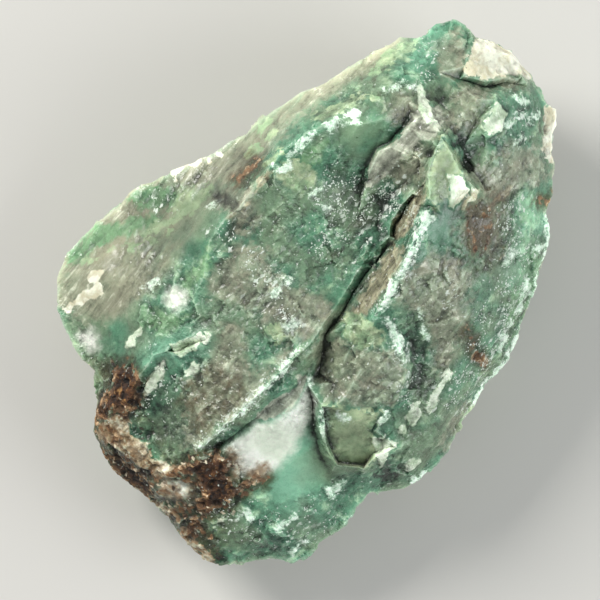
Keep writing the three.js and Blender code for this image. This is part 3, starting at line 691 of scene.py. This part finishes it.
# %% Each point moves along its own normal
SUGAR_RISE = 0.11
CHIP_RISE = 0.16
FLAKE_RISE = 0.26
RUST_RISE = 0.3
CRUMB_DEPTH = 0.6
PIT_DEPTH = 0.4
CRACK_DEPTH = 0.6
LOWEST = -1.3
HIGHEST = 0.8
rough = (1 - 0.85 * calm) * (0.55 + 0.6 * smooth_step(-0.25, 0.3, noise_at(points, 5.0, 50)))
in_chip = smooth_step(-0.08, 0.2, depths["chip"] + 0.5 * small_facets)
in_flake = smooth_step(-0.1, 0.14, depths["flake"])
in_rust = smooth_step(-0.3, 0.5, depths["rust"])
in_cream = smooth_step(-0.3, 0.5, depths["cream"])
rise = rough * (
    facets * FACET_TILT * (1 - 0.5 * slope)
    + small_facets * SMALL_FACET_TILT
    + (ledge - 0.5) * LEDGE_RISE * ledge_here * (0.5 + 0.5 * slope)
    + sugar * SUGAR_RISE * (1 - 0.4 * slope)
)
rise += (1 - facing_up) * side_facets * SIDE_FACET_TILT
rise += in_chip * CHIP_RISE * (1 - 0.6 * calm) + in_flake * FLAKE_RISE
crumbling = np.maximum(in_rust, in_cream * crumbly) * (RUST_RISE - crumbs * CRUMB_DEPTH)
rise += crumbling - crumbly * pits * PIT_DEPTH
rise -= smooth_step(-0.35, -0.8, shade) * CRACK_DEPTH
rise = np.clip(rise, LOWEST, HIGHEST)
rise *= smooth_step(0.3, 2.2, points[:, 2])
moved = points + normals * rise[:, None]
moved[:, 2] = np.maximum(moved[:, 2], 0)
stone_mesh.vertices.foreach_set("co", (moved * MM).ravel())
stone_mesh.update()
print("moved by", round(float(np.abs(rise).max()), 2), "mm at most")

# %% [markdown]
# ## Crests and hollows
#
# Light gets into thin edges, so broken crests look pale, and it is lost in cracks and hollows, so
# they look dark. The finish paints this into the colour: a painted highlight on crests and painted
# shade in cracks and hollows. A Geometry node's Pointiness shows that only in the render. How far
# each point stands above the smoothed skin round it measures the same, and stays with the mesh.

# %% Crests and hollows
SMOOTHING = 0.6
NEAR_ROUNDS = 6
WIDE_ROUNDS = 60
CREST_GAIN = 8
HILL_GAIN = 1.6
SMOOTH_SHADED = 0.45
edge_ends = np.empty(len(stone_mesh.edges) * 2, int)
stone_mesh.edges.foreach_get("vertices", edge_ends)
first, second = edge_ends.reshape(-1, 2).T
neighbours = np.bincount(first, minlength=count) + np.bincount(second, minlength=count)


def relaxed(values, rounds):
    for _ in range(rounds):
        total = np.zeros_like(values)
        for axis in range(values.shape[1]):
            total[:, axis] = np.bincount(first, values[second, axis], count)
            total[:, axis] += np.bincount(second, values[first, axis], count)
        values = (1 - SMOOTHING) * values + SMOOTHING * total / neighbours[:, None]
    return values


normals = at_each_point("normal")
near = relaxed(moved, NEAR_ROUNDS)
wide = relaxed(near, WIDE_ROUNDS)
crest = np.einsum("ij,ij->i", moved - near, normals)
hill = np.einsum("ij,ij->i", near - wide, normals)
print("crest", round(float(crest.std()), 3), "mm, hill", round(float(hill.std()), 3), "mm")

# %% The marks are kept on the points, for the material to read
marks = {
    **depths, "mint": mint, "shade": shade, "calm": calm, "grain": grain, "slope": slope,
    "crumbly": crumbly, "rim": rim, "crest": np.clip(crest * CREST_GAIN, -1, 1),
    "hill": np.clip(hill * HILL_GAIN, -1, 1),
}
for name, values in marks.items():
    layer = stone_mesh.attributes.new(name, "FLOAT", "POINT")
    layer.data.foreach_set("value", np.ascontiguousarray(values, dtype=np.float32))
print("marks:", ", ".join(marks))

stone = bpy.data.objects.new("jade_stone", stone_mesh)
bpy.context.scene.collection.objects.link(stone)
for polygon in stone_mesh.polygons:
    polygon.use_smooth = bool(calm[polygon.vertices[0]] > SMOOTH_SHADED)

# %% [markdown]
# ## The finish
#
# One material carries every mineral, because on the stone they grade into each other. Two node
# groups do the repeated work. One turns a mineral's depth into a ragged patch. The other peppers
# the stone with small grains. The material lays one mineral over another, as the marks say, then
# lets fibres, crystals and cracks change how bright and how glossy each one is, and paints light
# and shade into the colour at the brushes, the crests and the hollows.


# %% Small helpers for nodes
def linear(hex_colour):
    def channel(value):
        value /= 255
        return value / 12.92 if value <= 0.04045 else ((value + 0.055) / 1.055) ** 2.4

    parts = [int(hex_colour[i : i + 2], 16) for i in (1, 3, 5)]
    return (*[channel(part) for part in parts], 1)


class Maker:
    """Adds nodes to a tree. A value is a number, a colour or another node's output."""

    def __init__(self, tree):
        self.tree = tree

    def add(self, kind, settings=None, **sockets):
        made = self.tree.nodes.new("ShaderNode" + kind)
        for key, value in (settings or {}).items():
            setattr(made, key, value)
        for key, value in sockets.items():
            self.set(made, key.replace("_", " "), value)
        return made

    def set(self, made, socket, value):
        socket = made.inputs[socket]
        if isinstance(value, bpy.types.NodeSocket):
            self.tree.links.new(value, socket)
        else:
            socket.default_value = value

    def math(self, operation, *values, clamp=False):
        made = self.add("Math", {"operation": operation, "use_clamp": clamp})
        for index, value in enumerate(values):
            self.set(made, index, value)
        return made.outputs[0]

    def times(self, first, second):
        return self.math("MULTIPLY", first, second)

    def plus(self, first, second):
        return self.math("ADD", first, second)

    def minus(self, first, second):
        return self.math("SUBTRACT", first, second)

    def blend(self, factor, under, over, mode="MIX"):
        made = self.add("Mix", {"data_type": "RGBA", "blend_type": mode})
        self.set(made, 0, factor)
        self.set(made, 6, under)
        self.set(made, 7, over)
        return made.outputs[2]

    def between(self, factor, first, second):
        made = self.add("Mix", {"data_type": "FLOAT"})
        self.set(made, 0, factor)
        self.set(made, 2, first)
        self.set(made, 3, second)
        return made.outputs[0]

    def vector(self, operation, first, second=None, scale=None):
        made = self.add("VectorMath", {"operation": operation})
        self.set(made, 0, first)
        if second is not None:
            self.set(made, 1, second)
        if scale is not None:
            made.inputs["Scale"].default_value = scale
        return made.outputs[0]

    def noise(self, where, scale, detail=2.0, roughness=0.5, distortion=0.0):
        made = self.add("TexNoise", Vector=where, Scale=scale, Detail=detail)
        made.inputs["Roughness"].default_value = roughness
        made.inputs["Distortion"].default_value = distortion
        return made.outputs["Fac"]

    def ramp(self, value, low, high, to_low=0.0, to_high=1.0, smooth=True):
        made = self.add("MapRange", {"interpolation_type": "SMOOTHSTEP" if smooth else "LINEAR"})
        for index, part in enumerate((value, low, high, to_low, to_high)):
            self.set(made, index, part)
        return made.outputs[0]

    def mark(self, name):
        return self.add("Attribute", {"attribute_name": name}).outputs["Fac"]


def new_group(name, inputs, outputs):
    tree = bpy.data.node_groups.new(name, "ShaderNodeTree")
    for label, kind, value in inputs:
        socket = tree.interface.new_socket(label, in_out="INPUT", socket_type="NodeSocket" + kind)
        if value is not None:
            socket.default_value = value
    for label, kind in outputs:
        tree.interface.new_socket(label, in_out="OUTPUT", socket_type="NodeSocket" + kind)
    start = tree.nodes.new("NodeGroupInput")
    end = tree.nodes.new("NodeGroupOutput")
    return tree, Maker(tree), start.outputs, end.inputs


# %% A mineral's ragged patch
patch_group, make, given, wanted = new_group(
    "mineral patch",
    [("Depth", "Float", 0.0), ("Shake", "Float", 0.5), ("Crystal", "Float", 0.5),
     ("Ragged", "Float", 1.0), ("Angular", "Float", 0.5), ("Softness", "Float", 0.15)],
    [("Mask", "Float")],
)
shaking = make.times(make.minus(given["Shake"], 0.5), given["Ragged"])
corners = make.times(make.minus(given["Crystal"], 0.5), given["Angular"])
reach = make.times(make.plus(shaking, corners), 2.0)
reach = make.plus(given["Depth"], reach)
mask = make.ramp(reach, make.times(given["Softness"], -1.0), given["Softness"])
patch_group.links.new(mask, wanted["Mask"])
print("group:", patch_group.name, len(patch_group.nodes), "nodes")

# %% Small pale grains
pepper_group, make, given, wanted = new_group(
    "pale grains",
    [("Place", "Vector", None), ("Amount", "Float", 0.3), ("Scale", "Float", 2400.0)],
    [("Mask", "Float"), ("Tone", "Float")],
)
dots = make.add(
    "TexVoronoi", {"feature": "F1", "distance": "MANHATTAN"}, Vector=given["Place"],
    Scale=given["Scale"],
)
dot_colour = make.add("SeparateColor", Color=dots.outputs["Color"]).outputs
chance = dot_colour[0]
gather = make.noise(given["Place"], make.times(given["Scale"], 0.14), 2, 0.6)
amount = make.times(given["Amount"], make.ramp(gather, 0.42, 0.62, 0.1, 1.0))
picked = make.ramp(make.minus(amount, chance), 0.0, 0.12)
speck = make.ramp(dots.outputs["Distance"], 0.78, 0.5)
pepper_group.links.new(make.times(picked, speck), wanted["Mask"])
pepper_group.links.new(dot_colour[1], wanted["Tone"])
print("group:", pepper_group.name, len(pepper_group.nodes), "nodes")

# %% Noises and crystals that the whole stone shares, in waves for each metre
BROAD = 120
BANDS = 330
MOTTLE = 330
FIBRES = 1300
FINE = 1600
CRYSTALS = 1000
STIR = 1.1 * MM
MIDDLE = (0.5, 0.5, 0.5)
# A small scale along the grain draws a pattern out into streaks
STREAK_SCALE = (0.14, 1.0, 0.45)
SPLINTER_SCALE = (0.42, 1.0, 0.7)
jade = bpy.data.materials.new("jade")
jade.use_nodes = True
jade.node_tree.nodes.clear()
make = Maker(jade.node_tree)
place = make.add("TexCoord").outputs["Object"]
turned = make.add("Mapping", Vector=place, Rotation=(0, 0, -GRAIN_ANGLE)).outputs[0]
streaky = make.add("Mapping", Vector=turned, Scale=STREAK_SCALE).outputs[0]
slope_here = make.mark("slope")
streaked = make.ramp(slope_here, 0.0, 1.0, 0.38, 0.66)
fibres = make.noise(streaky, FIBRES, 4, 0.62, 0.4)
bands = make.noise(streaky, BANDS, 4, 0.62, 0.5)
broad = make.noise(place, BROAD, 2, 0.5)
mottle = make.noise(place, MOTTLE, 5, 0.66, 0.4)
fine = make.noise(place, FINE, 3, 0.72)
shake = make.between(streaked, make.noise(place, 560, 5, 0.7), make.noise(streaky, 700, 4, 0.66))

stir = make.add("TexNoise", Vector=place, Scale=900.0, Detail=2.0).outputs["Color"]
stir = make.vector("SCALE", make.vector("SUBTRACT", stir, MIDDLE), scale=STIR)
stirred = make.vector("ADD", place, stir)
splinters = make.add("Mapping", Vector=stirred, Rotation=(0, 0, -GRAIN_ANGLE)).outputs[0]
splinters = make.add("Mapping", Vector=splinters, Scale=SPLINTER_SCALE).outputs[0]
crystals = make.add("TexVoronoi", {"feature": "F1"}, Vector=stirred, Scale=CRYSTALS)
crystal_tones = make.add("SeparateColor", Color=crystals.outputs["Color"]).outputs
crack = make.math("ABSOLUTE", make.minus(mottle, 0.47))
crack = make.ramp(crack, 0.0, 0.012, 1.0, 0.0)
print("shared nodes:", len(jade.node_tree.nodes))

# %% The edge of each mineral: how ragged, how angular and how soft
mineral_edges = {
    "leaf": (1.8, 0.5, 0.8), "sage": (1.3, 0.5, 0.35), "smoky": (3.0, 0.6, 1.3),
    "milky": (1.0, 0.1, 0.9), "chip": (2.2, 0.3, 0.4), "flake": (0.6, 0.2, 0.1),
    "misty": (0.7, 0.2, 0.25), "straw": (0.8, 0.2, 0.4), "cream": (0.7, 0.3, 0.2),
    "rust": (2.0, 0.9, 0.3),
}
frost = make.between(0.5, shake, fine)


def patch(name):
    ragged, angular, softness = mineral_edges[name]
    return make.add(
        "Group", {"node_tree": patch_group}, Depth=make.mark(name), Crystal=crystal_tones[0],
        Shake=frost if name == "chip" else shake, Ragged=ragged, Angular=angular,
        Softness=softness,
    ).outputs[0]


masks = {name: patch(name) for name in mineral_edges}
print("masks:", ", ".join(masks))


# %% The minerals, laid one over another
# Most of a noise lies close to 0.5, so colours turn from one to the next between 0.34 and 0.68
def two_tone(value, dark, light, low=0.38, high=0.62):
    return make.blend(make.ramp(value, low, high), linear(dark), linear(light))


def three_tone(value, dark, middle, light):
    lower = make.blend(make.ramp(value, 0.34, 0.5), linear(dark), linear(middle))
    return make.blend(make.ramp(value, 0.52, 0.68), lower, linear(light))


body = make.between(make.times(streaked, 0.8), mottle, bands)
body = make.between(make.times(make.mark("calm"), 0.6), body, 0.5)
colour = three_tone(body, "#1f4233", "#59836a", "#a0bd9d")
colour = make.blend(make.ramp(broad, 0.42, 0.62, 0, 0.45), colour, linear("#83896f"))
# The long slope's pale grey-beige: partly its own tone and partly a painted sheen
slope_tone_and_painted_sheen = make.times(slope_here, make.ramp(bands, 0.35, 0.6, 0.4, 0.85))
colour = make.blend(slope_tone_and_painted_sheen, colour, linear("#a29f89"))
smoke_tone = make.between(streaked, make.noise(place, 480, 5, 0.7, 0.3), fibres)
smoke = make.times(masks["smoky"], make.ramp(mottle, 0.36, 0.56, 0.97, 0.7))
colour = make.blend(smoke, colour, three_tone(smoke_tone, "#595b4d", "#8b8d7a", "#c6c8b6"))
colour = make.blend(masks["leaf"], colour, three_tone(body, "#41694b", "#729370", "#9db395"))
colour = make.blend(masks["sage"], colour, two_tone(body, "#7f9878", "#b0bd9b"))
colour = make.blend(make.mark("mint"), colour, linear("#8ab69e"))
colour = make.blend(masks["milky"], colour, two_tone(broad, "#bcc3b5", "#d6d9cf"))
colour = make.blend(masks["straw"], colour, two_tone(fibres, "#7a7763", "#aba78e"))
misty_colour = two_tone(smoke_tone, "#848779", "#b9bdac")
colour = make.blend(make.times(masks["misty"], 0.9), colour, misty_colour)
# Chips, partly painted highlights along the crests
chip_and_highlight_tone = make.ramp(frost, 0.4, 0.62, smooth=False)
chip_and_highlight_colour = make.blend(chip_and_highlight_tone, linear("#9dbaa1"), linear("#e6f0e5"))
colour = make.blend(make.times(masks["chip"], 0.85), colour, chip_and_highlight_colour)
flake_colour = two_tone(mottle, "#96a68d", "#ccd4c3")
colour = make.blend(make.times(masks["flake"], 0.95), colour, flake_colour)
colour = make.blend(masks["cream"], colour, two_tone(mottle, "#b5b199", "#d4d6c6"))


# %% The weathered corner: stained cream, dark specks and rust
def pepper(amount, scale, where=stirred):
    return make.add(
        "Group", {"node_tree": pepper_group}, Place=where, Amount=amount, Scale=scale
    ).outputs


stain = make.plus(make.mark("rust"), make.times(shake, 5.0))
stain = make.times(make.ramp(stain, 0.3, 2.0), 0.8)
colour = make.blend(stain, colour, linear("#937350"), "MULTIPLY")
rust_lumps = make.ramp(crystal_tones[1], 0.0, 1.0, 0.2, 0.8, smooth=False)
rust_grain = make.between(0.35, make.noise(place, 1000, 4, 0.75), rust_lumps)
rust_rim = three_tone(rust_grain, "#3d2c1e", "#776048", "#c9b79c")
rust_core = three_tone(rust_grain, "#1c120a", "#4a311c", "#99794f")
well_in = make.ramp(make.plus(make.mark("rust"), shake), 0.7, 1.9)
rusty = make.blend(well_in, rust_rim, rust_core)
colour = make.blend(masks["rust"], colour, rusty)
tan = make.times(make.mark("crumbly"), 0.45)
tan = make.times(tan, make.ramp(shake, 0.35, 0.6))
colour = make.blend(tan, colour, linear("#cfb084"), "MULTIPLY")
specks = pepper(make.times(make.mark("crumbly"), 0.42), 1150)
speck_colour = make.blend(make.ramp(specks[1], 0.5, 0.8), linear("#33241a"), linear("#d8ccb4"))
colour = make.blend(make.times(specks[0], 0.8), colour, speck_colour)

# %% How bright each mineral is: fibres, crystals, cracks, and painted light and shade
LIGHTER = 1.2
RICHER = 1.14
not_calm = make.minus(1.0, make.mark("calm"))
unevenness = make.ramp(make.noise(place, 210, 3, 0.55), 0.4, 0.6, 0.3, 1.0)
rough_here = make.times(not_calm, unevenness)
bright = make.ramp(make.between(streaked, fine, fibres), 0.32, 0.68, -0.26, 0.26, smooth=False)
mosaic = make.ramp(crystal_tones[0], 0, 1, -0.2, 0.22, smooth=False)
bright = make.plus(bright, mosaic)
bright = make.minus(bright, make.times(crack, 0.22))
bright = make.times(bright, make.ramp(rough_here, 0, 1, 0.22, 1, smooth=False))
# Painted light and shade from the brushes, and painted shade on the sides
bright = make.plus(bright, make.mark("shade"))
# Painted shade in wide hollows and painted light on rises, then a painted highlight on crests and
# painted shade in cracks
bright = make.plus(bright, make.times(make.mark("hill"), 0.75))
bright = make.plus(bright, make.times(make.mark("crest"), 0.4))
value = make.math("MAXIMUM", make.plus(bright, 1.0), 0.12)
value = make.times(value, LIGHTER)
colour = make.add("Gamma", Color=colour, Gamma=RICHER).outputs[0]
colour = make.add("HueSaturation", Color=colour, Value=value).outputs[0]

# %% Pale crests, worn and with a painted highlight, a painted rim light, and white grains and glints
COARSE_GRAINS = 1700
TINY_GRAINS = 3000
not_rust = make.minus(1.0, masks["rust"])
# Pale crests: partly worn, fractured edges and partly a painted highlight
worn_edge_and_highlight = make.ramp(make.plus(make.mark("crest"), fine), 0.95, 1.35)
worn_edge_and_highlight = make.times(worn_edge_and_highlight, make.times(not_rust, unevenness))
worn_edge_and_highlight = make.times(worn_edge_and_highlight, 0.4)
colour = make.blend(worn_edge_and_highlight, colour, linear("#c3d3bd"))
# Painted rim light: a pale line where the skin turns down at the outline
painted_rim_light = make.times(make.mark("rim"), make.ramp(shake, 0.35, 0.55, 0.3, 0.9))
colour = make.blend(make.times(painted_rim_light, not_rust), colour, linear("#cdd2b6"))
grain_here = make.times(make.mark("grain"), make.times(not_calm, not_rust))
# Pale flecks over all rough places are painted glints
scattered_painted_glints = make.times(not_calm, 0.1)
coarse = make.plus(make.times(grain_here, 0.8), scattered_painted_glints)
coarse = pepper(coarse, COARSE_GRAINS, splinters)
tiny = make.plus(make.times(grain_here, 0.6), scattered_painted_glints)
tiny = pepper(tiny, TINY_GRAINS)
# White grains: partly the stone's own pale grains and partly painted glints
grains = make.math("MAXIMUM", make.times(coarse[0], coarse[1]), tiny[0])
colour = make.blend(make.times(grains, 0.85), colour, linear("#e6f0e4"))

# %% How it shines and how rough it feels
RELIEF_DEPTH = 0.4 * MM
LIGHT_DEPTH = 1.5 * MM
TILT_GAIN = 1500
glints = make.ramp(crystal_tones[2], 0.82, 0.86)
gloss = make.ramp(fine, 0.35, 0.7, 0.24, 0.46)
gloss = make.minus(gloss, make.times(glints, 0.14))
gloss = make.plus(gloss, make.times(masks["rust"], 0.4))
gloss = make.math("ADD", gloss, make.times(masks["cream"], 0.15), clamp=True)
offset = make.vector("SUBTRACT", stirred, crystals.outputs["Position"])
lean = make.vector("SUBTRACT", crystals.outputs["Color"], MIDDLE)
tilt = make.add("VectorMath", {"operation": "DOT_PRODUCT"})
make.set(tilt, 0, offset)
make.set(tilt, 1, lean)
relief = make.times(tilt.outputs["Value"], TILT_GAIN)
relief = make.plus(relief, make.times(fine, 1.3))
relief = make.between(streaked, relief, make.times(fibres, 1.1))
relief = make.times(relief, make.ramp(rough_here, 0, 1, 0.2, 1, smooth=False))
relief = make.times(relief, make.ramp(masks["smoky"], 0, 1, 1, 0.6, smooth=False))
bump = make.add("Bump", Height=relief, Strength=0.7, Distance=RELIEF_DEPTH)
shader = make.add(
    "BsdfPrincipled",
    Base_Color=colour,
    Roughness=gloss,
    Normal=bump.outputs[0],
    Coat_Weight=make.times(not_rust, 0.22),
    Coat_Roughness=0.16,
    Subsurface_Weight=0.2,
    Subsurface_Scale=LIGHT_DEPTH,
)
shader.inputs["Subsurface Radius"].default_value = (0.7, 1.0, 0.8)
make.add("OutputMaterial", Surface=shader.outputs[0])
stone_mesh.materials.append(jade)
print("nodes in the finish:", len(jade.node_tree.nodes))

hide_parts("raw_jade")
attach(stone, "root")

# %% [markdown]
# ## The studio
#
# A hard lamp would turn every grain into a spark. So the stone lies on a pale matt floor, under one
# large soft light from the upper left, which gives the long slope its sheen, a weaker one from the
# right, and a dim sky.

# %% Floor and lights
FLOOR_SIZE = 6.0
SKY_TINT = (0.93, 0.97, 1.0, 1)
SKY_STRENGTH = 0.36
floor_shape = bmesh.new()
bmesh.ops.create_grid(floor_shape, x_segments=1, y_segments=1, size=FLOOR_SIZE / 2)
floor_mesh = bpy.data.meshes.new("floor")
floor_shape.to_mesh(floor_mesh)
floor_shape.free()
floor = bpy.data.objects.new("floor", floor_mesh)
bpy.context.scene.collection.objects.link(floor)
floor_paint = bpy.data.materials.new("floor")
floor_paint.use_nodes = True
floor_shader = floor_paint.node_tree.nodes["Principled BSDF"]
floor_shader.inputs["Base Color"].default_value = linear("#cfcdc8")
floor_shader.inputs["Roughness"].default_value = 0.8
floor_mesh.materials.append(floor_paint)


def soft_light(name, spot, size, power, tint):
    light = bpy.data.lights.new(name, "AREA")
    light.size = size
    light.energy = power
    light.color = tint
    lamp = bpy.data.objects.new(name, light)
    lamp.location = spot
    aim = Vector((0, 0, FOCUS_HEIGHT)) - Vector(spot)
    lamp.rotation_euler = aim.to_track_quat("-Z", "Y").to_euler()
    bpy.context.scene.collection.objects.link(lamp)


soft_light("key", (-0.42, 0.36, 0.46), 0.30, 5.0, (1.0, 0.985, 0.95))
soft_light("fill", (0.50, -0.10, 0.34), 0.40, 2.3, (0.97, 0.99, 1.0))
world = bpy.data.worlds.new("sky")
world.use_nodes = True
sky = world.node_tree.nodes["Background"]
sky.inputs["Color"].default_value = SKY_TINT
sky.inputs["Strength"].default_value = SKY_STRENGTH
bpy.context.scene.world = world
bpy.context.scene.view_settings.view_transform = "Standard"
print("lights:", [lamp.name for lamp in bpy.data.lights])
